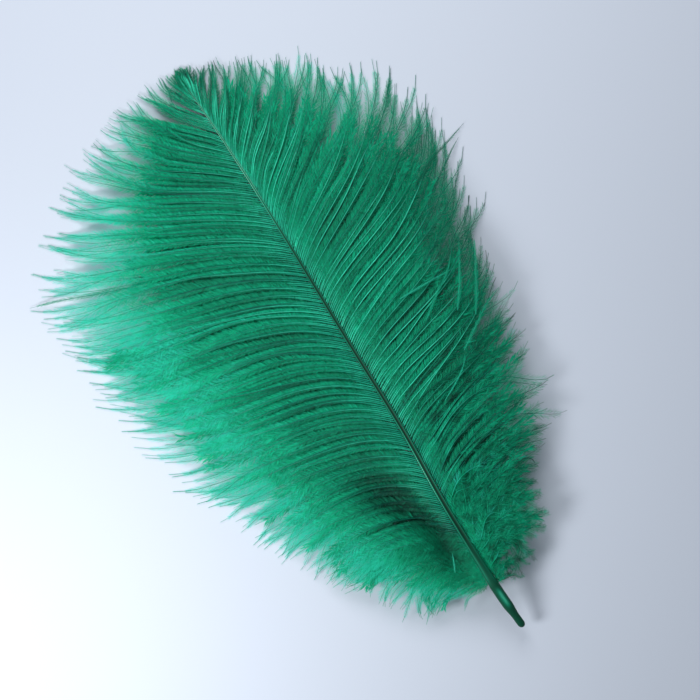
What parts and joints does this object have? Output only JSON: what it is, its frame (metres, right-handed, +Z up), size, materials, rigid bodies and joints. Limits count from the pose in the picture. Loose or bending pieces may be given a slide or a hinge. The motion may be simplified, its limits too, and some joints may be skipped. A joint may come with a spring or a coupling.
{
  "type": "ostrich feather",
  "caption": "Dyed green ostrich plume lying convex side up: a grooved tapering shaft with a bare quill, two broad soft vanes of drooping barbs, and downy barbs at the base.",
  "frame": {"origin": "on the surface that the plume lies on, under the middle of its bounding box", "axes": "+Y along the shaft from the end of the quill to the tip, +X across the vanes, +Z up from the surface"},
  "size_m": [0.164, 0.25, 0.0245],
  "materials": {
    "shaft": "horn-like keratin dyed dark green, satin, paler along the edges of its groove",
    "barbs": "soft dyed emerald barbs, slightly see-through, with a faint silky sheen",
    "down": "fluffy dyed emerald down, matte and slightly see-through"
  },
  "bodies": {
    "root": {"shaft": "shaft", "vane_left": "barbs", "vane_right": "barbs", "down_left": "down", "down_right": "down"}
  },
  "joints": []
}
